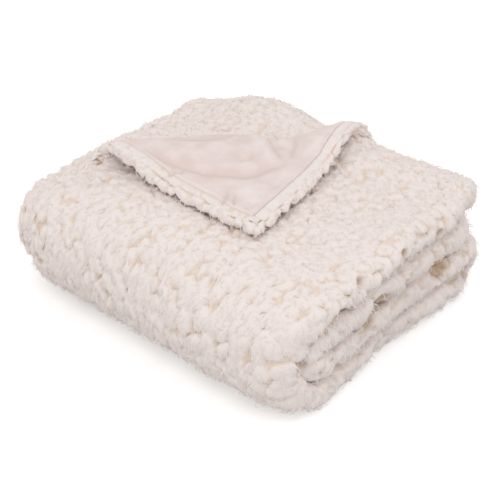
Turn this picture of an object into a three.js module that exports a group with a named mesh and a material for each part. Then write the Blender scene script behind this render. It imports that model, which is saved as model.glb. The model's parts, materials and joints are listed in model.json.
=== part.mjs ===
// A fluffy throw blanket, folded for a shelf: in thirds like a letter, then in half and in half again,
// with the free corner of the top ply turned back. Two panels are folded together: a high-pile fluffy
// face, whose solid reaches to the tips of its pile, and a smooth backing sewn to it all round.
//
// Millimetres, +Z up. +X runs along the bundle's long side and +Y from its outer wrap to its far side.
// The origin is at the middle of the underside. The cloth is first a flat sheet with coordinates
// u (across its width, from the free long hem), v (along its length, from the free short hem) and
// n (through it, from the smooth side to the pile tips). Three folds then take it to its place.

import * as THREE from 'three';

// ---- Driving dimensions ------------------------------------------------------------------------

const PLY = 11.5; // both panels and the pile, as they lie in the bundle
const PLY_GAP = 1.0; // air between two plies
const PLIES = 3; // plies in one folded layer
const PANELS = [
  { name: 'smooth_backing', from: 0, to: 1.6, colour: 0xeadcd6, roughness: 0.75 },
  { name: 'fluffy_face', from: 1.9, to: PLY, colour: 0xede2dc, roughness: 0.95 },
];

const PITCH = PLY + PLY_GAP; // from ply to ply
const LAYER = PLIES * PITCH; // from folded layer to folded layer
const MAIN_PART = 265; // along X, of each third, and the same in all three
const END_PART = 80; // on each side of it
const HEM_INSET = 26; // of the free long hem from the left loop
const INNER_HEM_INSET = 6; // of the inner long hem from the right loop, which it lies in
const HALF_WIDTH = 228; // of the folded bundle, along X
const HALF_DEPTH = 196; // along Y
const LAYERS = 4;
const HEIGHT = LAYERS * LAYER;

// The far side of the bundle: the lower loop stands open, so all that lies on it rises to it.
const LOOP_RADIUS = 23; // of the middle of the layer
const RAMP_ANGLE = 10; // degrees
const RAMP_RADIUS = 150; // at the foot of the ramp, for the third layer
const NOSE_RADIUS = 22; // over which the two free ends droop, for the second layer
const TOP_DROOP = 50; // degrees, of the top layer's free end
const SECOND_DROOP = 45; // and of the second layer's
const FLAT_LENGTH = 212; // of each layer, from the wraps to the foot of the ramp

// ---- Folds: one row for each stretch of cloth, in order ------------------------------------------
// A stretch is straight with a length, or bends with a radius by a turn in degrees, left positive.

const ACROSS = [
  { stretch: 'top third, by its free hem', length: END_PART - HEM_INSET, turn: 0, facets: 2 },
  { stretch: 'top third', length: MAIN_PART, turn: 0, facets: 2 },
  { stretch: 'top third, by the right loop', length: END_PART, turn: 0, facets: 2 },
  { stretch: 'right loop', radius: (PITCH + PLY_GAP) / 2, turn: -180, facets: 4 },
  { stretch: 'middle third, right end', length: END_PART, turn: 0, facets: 2 },
  { stretch: 'middle third, underneath', length: MAIN_PART, turn: 0, facets: 2 },
  { stretch: 'middle third, left end', length: END_PART, turn: 0, facets: 2 },
  { stretch: 'left loop', radius: PLY_GAP / 2, turn: -180, facets: 3 },
  { stretch: 'inner third, by the left loop', length: END_PART, turn: 0, facets: 2 },
  { stretch: 'inner third', length: MAIN_PART, turn: 0, facets: 2 },
  { stretch: 'inner third, by its hem', length: END_PART - INNER_HEM_INSET, turn: 0, facets: 2 },
];

const rampSine = Math.sin(radians(RAMP_ANGLE));
const rampCosine = Math.cos(radians(RAMP_ANGLE));
const rampDrop = LOOP_RADIUS * (1 + rampCosine) - LAYER - RAMP_RADIUS * (1 - rampCosine);
const rampLength = rampDrop / rampSine;
const bottomLength = FLAT_LENGTH + (RAMP_RADIUS + LOOP_RADIUS) * rampSine + rampLength * rampCosine;

const ALONG = [
  { stretch: 'top layer, drooping free end', radius: NOSE_RADIUS + LAYER, turn: TOP_DROOP, facets: 2 },
  { stretch: 'top layer, on the ramp', length: rampLength, turn: 0, facets: 1 },
  { stretch: 'top layer, foot of the ramp', radius: RAMP_RADIUS - 2 * LAYER, turn: -RAMP_ANGLE, facets: 1 },
  { stretch: 'top layer', length: FLAT_LENGTH, turn: 0, facets: 3 },
  { stretch: 'outer wrap', radius: 1.5 * LAYER, turn: 180, facets: 8 },
  { stretch: 'bottom layer', length: bottomLength, turn: 0, facets: 3 },
  { stretch: 'far loop', radius: LOOP_RADIUS, turn: 180 + RAMP_ANGLE, facets: 6 },
  { stretch: 'third layer, on the ramp', length: rampLength, turn: 0, facets: 1 },
  { stretch: 'third layer, foot of the ramp', radius: RAMP_RADIUS, turn: -RAMP_ANGLE, facets: 1 },
  { stretch: 'third layer', length: FLAT_LENGTH, turn: 0, facets: 3 },
  { stretch: 'inner wrap', radius: LAYER / 2, turn: -180, facets: 4 },
  { stretch: 'second layer', length: FLAT_LENGTH, turn: 0, facets: 3 },
  { stretch: 'second layer, foot of the ramp', radius: RAMP_RADIUS - LAYER, turn: RAMP_ANGLE, facets: 1 },
  { stretch: 'second layer, on the ramp', length: rampLength, turn: 0, facets: 1 },
  { stretch: 'second layer, drooping free end', radius: NOSE_RADIUS, turn: -SECOND_DROOP, facets: 2 },
];

// The turned-back corner: the crease crosses both free hems, and its roll is more open at the long hem.
const CREASE = {
  pulledAcross: 61, // the corner is pulled out this far past the long hem
  pulledAlong: 27, // and past the short hem
  pullWidth: 380, // the pull fades over this width
  pullLength: 300, // and this length of the top ply
  distance: 203, // from where the corner was before that pull, square to the crease
  angle: 48.5, // degrees between the crease and the short hem
  openLong: 9, // inner radius of the roll at the long hem
  openShort: 6, // and at the short hem
  settles: 90, // the flap comes down to the pile over this distance
  clearance: 2, // between the pile of the flap and the pile that it lies on
  facets: 5,
};
const SNAP = 1; // a crease facet that passes this near a corner of the sheet's facets goes through it

// The finished bundle is uneven: each row pushes the cloth round a place, most at its middle.
const PUSHES = [
  { place: 'far side, behind the turned corner', x: -100, y: 165, z: 150, reach: 90, dx: 0, dy: 4, dz: 20 },
  { place: 'far side, by the end of the crease', x: 0, y: 190, z: 150, reach: 80, dx: 0, dy: 2, dz: 17 },
  { place: 'left end, top', x: -215, y: -120, z: 150, reach: 80, dx: 6, dy: 0, dz: -8 },
  { place: 'left end, low', x: -210, y: -140, z: 50, reach: 90, dx: -9, dy: -2, dz: 0 },
  { place: 'near right corner, top', x: 170, y: -120, z: 150, reach: 120, dx: 0, dy: 0, dz: -5 },
  { place: 'right end, foot', x: 225, y: 10, z: 0, reach: 100, dx: -14, dy: 0, dz: 0 },
  { place: 'right end, far nose', x: 205, y: 190, z: 115, reach: 80, dx: 14, dy: 4, dz: 0 },
  { place: 'middle of the top', x: 60, y: -40, z: 150, reach: 140, dx: 0, dy: 0, dz: 4 },
];
const DRAWN_IN_ENDS = 0.1; // share of its width that the bundle loses at its two long sides
const DRAWN_IN_SIDES = 0.05; // share of its depth that it loses at its two ends
const CORNER_POWER = 6; // the higher, the nearer to the corners the sides draw in
const WANDER = { by: 4, alongX: 110, alongY: 90, alongZ: 70 }; // depth of the sides' waves, and their pace
const OFF_MIDDLE = { x: 1.6, y: 1.5 }; // how far all that leaves the middle of the bundle from the origin

// ---- Working out ---------------------------------------------------------------------------------

function radians(degrees) {
  return (degrees * Math.PI) / 180;
}

function smooth(share) {
  const t = Math.min(Math.max(share, 0), 1);
  return t * t * (3 - 2 * t);
}

// A folded section: it takes a distance along the cloth and an offset to the left of it to a point.
class Section {
  constructor(rows, heading) {
    this.stretches = [];
    let at = { a: 0, b: 0, heading, distance: 0 };
    for (const { stretch: name, length, radius, turn, facets } of rows) {
      const run = length ?? radius * Math.abs(radians(turn));
      this.stretches.push({ ...at, name, run, bend: radians(turn) / run, facets });
      const [a, b, newHeading] = this.along(this.stretches.at(-1), run);
      at = { a, b, heading: newHeading, distance: at.distance + run };
    }
    this.length = at.distance;
  }

  along({ a, b, heading, bend }, run) {
    if (bend === 0 || run < 0) return [a + run * Math.cos(heading), b + run * Math.sin(heading), heading];
    const end = heading + bend * run;
    const [da, db] = [Math.sin(end) - Math.sin(heading), Math.cos(heading) - Math.cos(end)];
    return [a + da / bend, b + db / bend, end];
  }

  at(distance, offset) {
    const stretch = this.stretches.findLast((s) => distance >= s.distance) ?? this.stretches[0];
    const [a, b, heading] = this.along(stretch, distance - stretch.distance);
    return [a - offset * Math.sin(heading), b + offset * Math.cos(heading)];
  }

  startOf(name, offset) {
    return this.at(this.stretches.find((stretch) => stretch.name === name).distance, offset);
  }

  // Where the cloth is scored: the ends of every facet.
  scores() {
    const ends = this.stretches.flatMap(({ distance, run, facets }) =>
      Array.from({ length: facets }, (_, i) => distance + (run * i) / facets));
    return [...ends, this.length];
  }
}

const across = new Section(ACROSS, 0);
const along = new Section(ALONG, radians(180 + RAMP_ANGLE - TOP_DROOP));

// Where the two sections start in the bundle, from the loop and the wrap that reach its outline.
const [rightLoopX] = across.startOf('right loop', 0);
const [, underside] = across.startOf('middle third, right end', PLY);
const [wrapY, wrapZ] = along.startOf('outer wrap', 0);
const acrossStart = HALF_WIDTH - PLY - (PITCH + PLY_GAP) / 2 - rightLoopX;
const alongStart = (LAYERS / 2) * LAYER - HALF_DEPTH - wrapY;
const bottomZ = (LAYERS - 0.5) * LAYER - PLY_GAP / 2 - wrapZ;

// 1. The free corner is turned over a roll, and comes down to lie on the pile.
const creaseNormal = { u: Math.sin(radians(CREASE.angle)), v: Math.cos(radians(CREASE.angle)) };

function rollInside(u, v) {
  const shareToShortHem = (u * creaseNormal.v - v * creaseNormal.u) / CREASE.distance / 2 + 0.5;
  return CREASE.openLong + (CREASE.openShort - CREASE.openLong) * smooth(shareToShortHem);
}

function pulled(u, v) {
  const share = (1 - smooth(u / CREASE.pullWidth)) * (1 - smooth(v / CREASE.pullLength));
  return [u - CREASE.pulledAcross * share, v - CREASE.pulledAlong * share];
}

function cornerTurned(flatU, flatV, n) {
  const [u, v] = pulled(flatU, flatV);
  const beyond = CREASE.distance - u * creaseNormal.u - v * creaseNormal.v;
  if (beyond <= 0) return [u, v, n];
  const inside = rollInside(u, v);
  const radius = PLY + inside;
  const angle = Math.min(beyond / radius, Math.PI);
  const past = beyond - angle * radius;
  const reach = (radius - n) * Math.sin(angle) - past;
  const lift = (2 * inside - CREASE.clearance) * smooth(past / CREASE.settles);
  const height = radius - (radius - n) * Math.cos(angle) - lift;
  const step = beyond - reach;
  return [u + creaseNormal.u * step, v + creaseNormal.v * step, height];
}

// 2. Folded in thirds: u and n become x and the height in the layer. 3. The strip is folded twice.
function folded(u, v, n) {
  const [x, layerHeight] = across.at(u, n);
  const [y, z] = along.at(v, (LAYER - PLY_GAP) / 2 - (layerHeight - underside));
  return [x + acrossStart, y + alongStart, z + bottomZ];
}

// 4. The bundle settles: its corners draw in, its sides wander and each push moves it.
function settled(x, y, z) {
  const width = 1 - DRAWN_IN_ENDS * (y / HALF_DEPTH) ** CORNER_POWER;
  const depth = 1 - DRAWN_IN_SIDES * (x / HALF_WIDTH) ** CORNER_POWER;
  const waveX = WANDER.by * Math.sin(y / WANDER.alongY + z / WANDER.alongZ);
  const waveY = WANDER.by * Math.sin(x / WANDER.alongX - z / WANDER.alongZ);
  const moved = {
    x: x * width + waveX * (x / HALF_WIDTH) - OFF_MIDDLE.x,
    y: y * depth + waveY * (y / HALF_DEPTH) - OFF_MIDDLE.y,
    z,
  };
  for (const push of PUSHES) {
    const away = (x - push.x) ** 2 + (y - push.y) ** 2 + (z - push.z) ** 2;
    const share = Math.exp(-away / push.reach ** 2);
    moved.x += push.dx * share;
    moved.y += push.dy * share;
    moved.z += push.dz * share * Math.min(z / HEIGHT, 1);
  }
  return [moved.x, moved.y, moved.z];
}

function place(u, v, n) {
  return settled(...folded(...cornerTurned(u, v, n)));
}

// ---- The scored sheet ----------------------------------------------------------------------------

class ScoredSheet {
  constructor(columns, rows) {
    this.points = [];
    this.index = new Map();
    this.triangles = [];
    for (let i = 0; i + 1 < columns.length; i += 1) {
      for (let j = 0; j + 1 < rows.length; j += 1) {
        const [a, b] = [columns[i], columns[i + 1]];
        const [c, d] = [rows[j], rows[j + 1]];
        const corners = [[a, c], [b, c], [b, d], [a, d]].map(([u, v]) => this.point(u, v));
        this.triangles.push([corners[0], corners[1], corners[3]], [corners[1], corners[2], corners[3]]);
      }
    }
  }

  point(u, v) {
    const key = `${u.toFixed(4)},${v.toFixed(4)}`;
    if (!this.index.has(key)) this.index.set(key, this.points.push([u, v]) - 1);
    return this.index.get(key);
  }

  // Cuts every triangle that the line normal . (u, v) = distance crosses.
  score(normal, distance) {
    const side = this.points.map(([u, v]) => {
      const d = u * normal.u + v * normal.v - distance;
      return Math.abs(d) < SNAP ? 0 : d;
    });
    const crossing = (i, j) => {
      const share = side[i] / (side[i] - side[j]);
      const [p, q] = [this.points[i], this.points[j]];
      return this.point(p[0] + (q[0] - p[0]) * share, p[1] + (q[1] - p[1]) * share);
    };
    const cut = (triangle) => {
      const outline = triangle.flatMap((i, k) => {
        const j = triangle[(k + 1) % 3];
        return side[i] * side[j] < 0 ? [i, crossing(i, j)] : [i];
      });
      if (outline.length === 3) return [triangle];
      const sideOf = (i) => side[i] ?? 0;
      return [1, -1].flatMap((sign) => {
        const part = outline.filter((i) => sideOf(i) * sign >= 0);
        return part.slice(2).map((_, k) => [part[0], part[k + 1], part[k + 2]]);
      });
    };
    this.triangles = this.triangles.flatMap(cut);
  }

  // The closed solid between two heights through the cloth.
  solid(from, to) {
    const count = this.points.length;
    const positions = [from, to].flatMap((n) => this.points.flatMap(([u, v]) => place(u, v, n)));
    const edges = new Map();
    for (const [i, j, k] of this.triangles) {
      for (const [p, q] of [[i, j], [j, k], [k, i]]) {
        if (!edges.delete(`${q},${p}`)) edges.set(`${p},${q}`, [p, q]);
      }
    }
    const smoothSide = this.triangles.flat();
    const pileSide = this.triangles.flatMap(([i, j, k]) => [i + count, k + count, j + count]);
    const hems = [...edges.values()].flatMap(([p, q]) => [p, p + count, q, q, p + count, q + count]);
    const geometry = new THREE.BufferGeometry();
    geometry.setAttribute('position', new THREE.Float32BufferAttribute(positions, 3));
    geometry.setIndex([...smoothSide, ...pileSide, ...hems]);
    geometry.computeVertexNormals();
    return geometry;
  }
}

const sheet = new ScoredSheet(across.scores(), along.scores());
const rollLength = Math.PI * (PLY + (CREASE.openLong + CREASE.openShort) / 2);
for (let i = 0; i <= CREASE.facets; i += 1) {
  sheet.score(creaseNormal, CREASE.distance - (rollLength * i) / CREASE.facets);
}

const blanket = new THREE.Group();
for (const { name, from, to, colour, roughness } of PANELS) {
  const material = new THREE.MeshStandardMaterial({ color: colour, roughness, metalness: 0 });
  const panel = new THREE.Mesh(sheet.solid(from, to), material);
  panel.name = name;
  blanket.add(panel);
}

export default blanket;
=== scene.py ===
"""A fluffy throw blanket, folded in thirds like a letter, then in half and in half again.

The cloth is first a flat sheet with coordinates u (across its width, from the free long hem), v (along
its length, from the free short hem) and n (through it, from the smooth side to the tips of the pile).
Bundle takes such a point to its place in the folded blanket. Two panels are made on that map, the fluffy
face and the smooth backing, and the pile grows on whatever part of the face can be seen.
"""

import json
import logging
import math
from dataclasses import dataclass, field
from enum import Enum

import bpy
import numpy as np
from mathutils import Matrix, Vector
from mathutils.bvhtree import BVHTree

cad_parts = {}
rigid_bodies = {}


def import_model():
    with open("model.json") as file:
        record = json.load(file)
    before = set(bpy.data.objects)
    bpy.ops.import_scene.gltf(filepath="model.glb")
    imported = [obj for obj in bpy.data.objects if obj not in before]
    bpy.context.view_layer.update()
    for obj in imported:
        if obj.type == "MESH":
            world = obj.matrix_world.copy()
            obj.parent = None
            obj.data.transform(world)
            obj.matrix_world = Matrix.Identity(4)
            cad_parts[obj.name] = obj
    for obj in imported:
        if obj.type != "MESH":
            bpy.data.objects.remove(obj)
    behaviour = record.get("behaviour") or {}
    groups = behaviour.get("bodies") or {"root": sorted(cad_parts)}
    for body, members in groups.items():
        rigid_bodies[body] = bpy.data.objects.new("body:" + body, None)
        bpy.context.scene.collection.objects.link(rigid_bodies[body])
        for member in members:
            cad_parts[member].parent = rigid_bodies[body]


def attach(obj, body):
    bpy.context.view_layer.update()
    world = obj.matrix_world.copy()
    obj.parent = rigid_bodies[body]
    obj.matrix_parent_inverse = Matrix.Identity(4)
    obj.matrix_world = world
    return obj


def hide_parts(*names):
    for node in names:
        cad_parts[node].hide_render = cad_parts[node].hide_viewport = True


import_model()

LOG = logging.getLogger("blanket")
Array = np.ndarray
Pair = tuple[float, float]
Triple = tuple[float, float, float]
Colour = tuple[float, float, float, float]
Piece = bpy.types.Object
Material = bpy.types.Material
Tree = bpy.types.NodeTree
Node = bpy.types.Node
Socket = bpy.types.NodeSocket
MM = 0.001
TINY = 1e-12  # keeps a length of nothing from dividing by nothing
ROUNDING = 1e-6
SEED = 7
PATCH = 256  # cells of chance, before they come again
HEM_LINES = (0.0, 0.3, 1.0, 2.0, 3.0, 4.0)  # steps in from a hem
COARSER = 3  # times as far from line to line, where little shows


# ---- The folded cloth ----


@dataclass(frozen=True)
class Stretch:
    """One run of cloth in a folded section: straight, or bent to the left by turn degrees."""

    name: str
    run: float
    cells: int
    turn: float = 0.0


def bend(name: str, radius: float, turn: float, cells: int) -> Stretch:
    """Returns the stretch of cloth that bends with a radius by a turn in degrees, left positive."""
    return Stretch(name, radius * abs(math.radians(turn)), cells, turn)


class Section:
    """A folded section: it takes a distance along the cloth and an offset to its left to a point."""

    def __init__(self, stretches: list[Stretch], heading: float) -> None:
        """Lays the stretches end to end.

        Args:
            stretches: the runs of cloth, in order.
            heading: the direction of the first one, in radians.
        """
        self.names = [s.name for s in stretches]
        self.cells = [s.cells for s in stretches]
        self.runs = np.array([s.run for s in stretches])
        self.starts = np.concatenate([[0.0], np.cumsum(self.runs)[:-1]])
        self.bends = np.array([math.radians(s.turn) / s.run for s in stretches])
        self.corners = np.array([[0.0, 0.0, heading]])
        for k in range(len(stretches) - 1):
            step = self._along(np.array([k]), self.runs[k : k + 1])
            self.corners = np.vstack([self.corners, np.column_stack(step)])

    @property
    def length(self) -> float:
        """The whole length of the cloth."""
        return float(self.runs.sum())

    def _along(self, k: Array, run: Array) -> tuple[Array, Array, Array]:
        """Returns the point and heading at a run along stretch k."""
        a, b, heading = self.corners[k].T
        bending = (self.bends[k] != 0) & (run >= 0)
        curve = np.where(bending, self.bends[k], 1.0)
        end = heading + curve * run
        da = np.where(bending, (np.sin(end) - np.sin(heading)) / curve, run * np.cos(heading))
        db = np.where(bending, (np.cos(heading) - np.cos(end)) / curve, run * np.sin(heading))
        return a + da, b + db, np.where(bending, end, heading)

    def at(self, distance: Array, offset: Array) -> tuple[Array, Array]:
        """Returns the point at a distance along the cloth and an offset to its left."""
        distance, offset = np.broadcast_arrays(distance, offset)
        k = np.clip(np.searchsorted(self.starts, distance.ravel(), "right") - 1, 0, None)
        a, b, heading = self._along(k, distance.ravel() - self.starts[k])
        shape, n = distance.shape, offset.ravel()
        return (a - n * np.sin(heading)).reshape(shape), (b + n * np.cos(heading)).reshape(shape)

    def start_of(self, name: str, offset: float) -> Pair:
        """Returns the point where the named stretch starts."""
        a, b = self.at(self.starts[self.names.index(name)], np.array(offset))
        return float(a), float(b)

    def laid_runs(self, offset: float) -> Array:
        """Returns the runs as one side of the cloth has them, longer round the outside of a bend."""
        return self.runs * np.maximum(1 - self.bends * offset, 1.0)

    def laid(self, distance: Array, offset: float, longer: dict[str, float]) -> Array:
        """Returns distances along one side, shorter where the named stretches are to look longer."""
        runs = self.laid_runs(offset) / np.array([longer.get(name, 1.0) for name in self.names])
        ends = np.concatenate([[0.0], np.cumsum(runs)])
        past_hems = np.minimum(distance, 0.0) + np.maximum(distance - self.length, 0.0)
        return np.interp(distance, np.append(self.starts, self.length), ends) + past_hems

    def evenly(self, pitch: float, offset: float, coarse: tuple[str, ...]) -> Array:
        """Returns lines at an even pitch along one side, further apart on the coarse stretches."""
        lines = []
        for name, start, run, laid in zip(self.names, self.starts, self.runs, self.laid_runs(offset)):
            count = round(laid / (COARSER * pitch if name in coarse else pitch))
            lines.append(np.linspace(start, start + run, max(1, count) + 1)[:-1])
        return np.append(np.concatenate(lines), self.length)

    def stations(self, detail: float, inset: float, hem: float, fine: float, fine_to: float) -> Array:
        """Returns where a panel is divided, with closer lines at its hems and over the turned corner.

        Args:
            detail: the share of each stretch's cells that is used.
            inset: how far the panel's two hems are drawn in.
            hem: the distance from line to line at a hem.
            fine: the distance from line to line over the turned corner.
            fine_to: how far the turned corner goes.
        """
        first, last = inset, self.length - inset
        edge = [line * hem for line in HEM_LINES]
        past_edge = (HEM_LINES[-1] + 1) * hem
        ends = [
            start + run * i / count
            for start, run, cells in zip(self.starts, self.runs, self.cells)
            for count in [max(1, round(cells * detail))]
            for i in range(count)
        ]
        corner = np.arange(first + past_edge, fine_to, fine).tolist()
        inner = [d for d in ends if fine_to + fine / 2 < d < last - past_edge]
        return np.array([first + d for d in edge] + corner + inner + [last - d for d in reversed(edge)])


def smooth(share: Array) -> Array:
    """Returns 0 to 1 as share goes from 0 to 1, with a soft start and end."""
    t = np.clip(share, 0.0, 1.0)
    return t * t * (3 - 2 * t)


def bell(away: Array) -> Array:
    """Returns 1 at no distance, and less and less at distances past one."""
    return np.exp(-(away**2))


def unit(vectors: Array) -> Array:
    """Returns vectors at length one."""
    return vectors / np.maximum(np.linalg.norm(vectors, axis=-1, keepdims=True), TINY)


@dataclass(frozen=True)
class Push:
    """A push on the finished bundle, in millimetres, strongest at its middle."""

    at: Triple
    reach: float
    by: Triple


@dataclass(frozen=True)
class Trough:
    """A soft wrinkle along points of the flat sheet, in millimetres, and a ridge if its depth is below 0."""

    points: tuple[Pair, ...]
    width: float
    depth: float
    crisp: float = 0.35
    crisp_width: float = 1 / 7
    fade: float = 4
    left_at_ends: float = 0.25

    def at(self, u: Array, v: Array) -> Array:
        """Returns how deep the wrinkle is at each point of the flat sheet."""
        nearest, along = np.full_like(u, np.inf), np.zeros_like(u)
        count = len(self.points) - 1
        for k, (start, end) in enumerate(zip(self.points, self.points[1:])):
            (u0, v0), (u1, v1) = ((a * MM, b * MM) for a, b in (start, end))
            share = ((u - u0) * (u1 - u0) + (v - v0) * (v1 - v0)) / ((u1 - u0) ** 2 + (v1 - v0) ** 2)
            share = np.clip(share, 0.0, 1.0)
            away = np.hypot(u - u0 - share * (u1 - u0), v - v0 - share * (v1 - v0))
            along = np.where(away < nearest, (k + share) / count, along)
            nearest = np.minimum(nearest, away)
        start, end = (smooth(part * self.fade + self.left_at_ends) for part in (along, 1 - along))
        width = self.width * MM
        wide, crisp = bell(nearest / (width / 2)), bell(nearest / (width * self.crisp_width))
        return self.depth * MM * ((1 - self.crisp) * wide + self.crisp * crisp) * start * end


@dataclass
class Bundle:
    """The folded blanket: takes a point of the flat sheet to its place."""

    ply: float = 11.5 * MM
    gap: float = 1.0 * MM
    plies: int = 3
    layers: int = 4
    main_part: float = 265 * MM
    end_part: float = 80 * MM
    hem_inset: float = 26 * MM
    inner_hem_inset: float = 6 * MM
    half_width: float = 228 * MM
    half_depth: float = 196 * MM
    loop_radius: float = 23 * MM
    ramp_angle: float = 10.0
    ramp_radius: float = 150 * MM
    nose_radius: float = 22 * MM
    top_droop: float = 50.0
    second_droop: float = 45.0
    flat_length: float = 212 * MM
    pulled_across: float = 61 * MM
    pulled_along: float = 27 * MM
    pull_width: float = 380 * MM
    pull_length: float = 300 * MM
    crease_distance: float = 203 * MM
    crease_angle: float = 48.5
    open_long: float = 9 * MM
    open_short: float = 6 * MM
    settles: float = 90 * MM
    clearance: float = 2 * MM
    drawn_in_ends: float = 0.1
    drawn_in_sides: float = 0.05
    corner_power: int = 6
    wander: float = 4 * MM
    wander_pace: Triple = (110 * MM, 90 * MM, 70 * MM)
    off_middle: Pair = (1.6 * MM, 1.5 * MM)
    pushes: tuple[Push, ...] = (
        Push((-100, 165, 150), 90, (0, 4, 20)),  # far side, behind the turned corner
        Push((0, 190, 150), 80, (0, 2, 17)),  # far side, by the end of the crease
        Push((-215, -120, 150), 80, (6, 0, -8)),  # left end, top
        Push((-210, -140, 50), 90, (-9, -2, 0)),  # left end, low
        Push((170, -120, 150), 120, (0, 0, -5)),  # near right corner, top
        Push((225, 10, 0), 100, (-14, 0, 0)),  # right end, foot
        Push((205, 190, 115), 80, (14, 4, 0)),  # right end, far nose
        Push((60, -40, 150), 140, (0, 0, 4)),  # middle of the top
        Push((-100, 160, 170), 65, (0, 2, 15)),  # hump behind the turned corner
        Push((-8, 105, 190), 55, (2, -6, -15)),  # crease, right of its middle
        Push((50, 175, 185), 45, (0, 0, -9)),  # right end of the crease
        Push((232, 96, 70), 20, (-13, 0, 0)),  # right end, dent in the far loop
        Push((234, -38, 84), 22, (-12, 0, 0)),  # right end, dent at the heart of the fold
        Push((230, -112, 112), 16, (-9, 2, 0)),  # right end, dent by the near corner
        Push((232, -78, 138), 15, (-9, 0, -3)),  # right end, dent under the top layer
        Push((228, 0, 112), 60, (0, 0, 14)),  # right end, between the two top layers
        Push((232, -20, 85), 50, (6, 0, 0)),  # right end, second roll
        Push((235, 160, 112), 34, (-12, -3, 0)),  # right end, notch under the top layer
        Push((228, 170, 70), 45, (6, 3, 0)),  # right end, far roll
    )
    troughs: tuple[Trough, ...] = (
        Trough(((23, 190), (29, 169), (39, 138), (52, 109), (70, 88), (80, 70), (96, 62), (112, 56),
                (138, 38)), 13, 5.5),
        Trough(((17, 200), (19, 160), (21, 120), (23, 80), (28, 50)), 16, -3.0),
        Trough(((8, 139), (24, 133), (38, 130)), 7, 4.5),
        Trough(((14, 58), (30, 63), (44, 70)), 6, 4.5),
        Trough(((20, 46), (34, 55), (46, 60)), 5, 3.2),
        Trough(((172, 112), (160, 92), (148, 74), (133, 52)), 10, 4.5),
        Trough(((150, 108), (140, 88), (126, 66)), 16, -3.0),
        Trough(((190, 62), (165, 55), (140, 46)), 8, 3.6),
        Trough(((200, 30), (170, 34), (145, 34)), 12, -3.0),
        Trough(((60, 60), (55, 40), (40, 25)), 22, -3.0),
        Trough(((60, 180), (100, 140), (140, 100)), 30, 2.4),
        Trough(((70, 168), (98, 142), (120, 128), (148, 118)), 9, 3.0),
        Trough(((92, 92), (104, 84), (118, 82)), 6, 2.4),
        Trough(((176, 92), (160, 78), (150, 60)), 8, 3.0),
    )
    long_roll: float = 17 * MM
    short_roll: float = 20 * MM
    across: Section = field(init=False)
    along: Section = field(init=False)

    def __post_init__(self) -> None:
        """Works out the two folded sections and where they start in the bundle."""
        self.across = Section(self._thirds(), 0.0)
        self.along = Section(self._layers(), math.radians(180 + self.ramp_angle - self.top_droop))
        right_loop_x, _ = self.across.start_of("right loop", 0.0)
        _, self.underside = self.across.start_of("middle third, right end", self.ply)
        wrap_y, wrap_z = self.along.start_of("outer wrap", 0.0)
        self.start_x = self.half_width - self.ply - (self.pitch + self.gap) / 2 - right_loop_x
        self.start_y = self.layers / 2 * self.layer - self.half_depth - wrap_y
        self.start_z = (self.layers - 0.5) * self.layer - self.gap / 2 - wrap_z
        angle = math.radians(self.crease_angle)
        self.crease_normal = (math.sin(angle), math.cos(angle))

    @property
    def pitch(self) -> float:
        """From ply to ply."""
        return self.ply + self.gap

    @property
    def layer(self) -> float:
        """From folded layer to folded layer."""
        return self.plies * self.pitch

    @property
    def height(self) -> float:
        """Of all the layers."""
        return self.layers * self.layer

    def _thirds(self) -> list[Stretch]:
        """Returns the section across the width, folded like a letter."""
        return [
            Stretch("top third, by its free hem", self.end_part - self.hem_inset, 14),
            Stretch("top third", self.main_part, 66),
            Stretch("top third, by the right loop", self.end_part, 12),
            bend("right loop", (self.pitch + self.gap) / 2, -180, 10),
            Stretch("middle third, right end", self.end_part, 10),
            Stretch("middle third, underneath", self.main_part, 22),
            Stretch("middle third, left end", self.end_part, 10),
            bend("left loop", self.gap / 2, -180, 8),
            Stretch("inner third, by the left loop", self.end_part, 10),
            Stretch("inner third", self.main_part, 30),
            Stretch("inner third, by its hem", self.end_part - self.inner_hem_inset, 8),
        ]

    def _layers(self) -> list[Stretch]:
        """Returns the section along the length, folded in half twice."""
        ramp_sine = math.sin(math.radians(self.ramp_angle))
        ramp_cosine = math.cos(math.radians(self.ramp_angle))
        drop = self.loop_radius * (1 + ramp_cosine) - self.layer - self.ramp_radius * (1 - ramp_cosine)
        ramp = drop / ramp_sine
        foot = (self.ramp_radius + self.loop_radius) * ramp_sine
        bottom = self.flat_length + foot + ramp * ramp_cosine
        top_foot = self.ramp_radius - 2 * self.layer
        second_foot = self.ramp_radius - self.layer
        return [
            bend("top layer, drooping free end", self.nose_radius + self.layer, self.top_droop, 14),
            Stretch("top layer, on the ramp", ramp, 9),
            bend("top layer, foot of the ramp", top_foot, -self.ramp_angle, 4),
            Stretch("top layer", self.flat_length, 52),
            bend("outer wrap", 1.5 * self.layer, 180, 30),
            Stretch("bottom layer", bottom, 24),
            bend("far loop", self.loop_radius, 180 + self.ramp_angle, 16),
            Stretch("third layer, on the ramp", ramp, 4),
            bend("third layer, foot of the ramp", self.ramp_radius, -self.ramp_angle, 3),
            Stretch("third layer", self.flat_length, 14),
            bend("inner wrap", self.layer / 2, -180, 14),
            Stretch("second layer", self.flat_length, 14),
            bend("second layer, foot of the ramp", second_foot, self.ramp_angle, 3),
            Stretch("second layer, on the ramp", ramp, 4),
            bend("second layer, drooping free end", self.nose_radius, -self.second_droop, 5),
        ]

    def beyond_crease(self, u: Array, v: Array) -> tuple[Array, Array, Array]:
        """Pulls the free corner out, and measures how far each point lies past the crease.

        Returns:
            The pulled u and v, and the distance past the crease, below 0 on the ply that stays.
        """
        share = (1 - smooth(u / self.pull_width)) * (1 - smooth(v / self.pull_length))
        u, v = u - self.pulled_across * share, v - self.pulled_along * share
        return u, v, self.crease_distance - u * self.crease_normal[0] - v * self.crease_normal[1]

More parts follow.
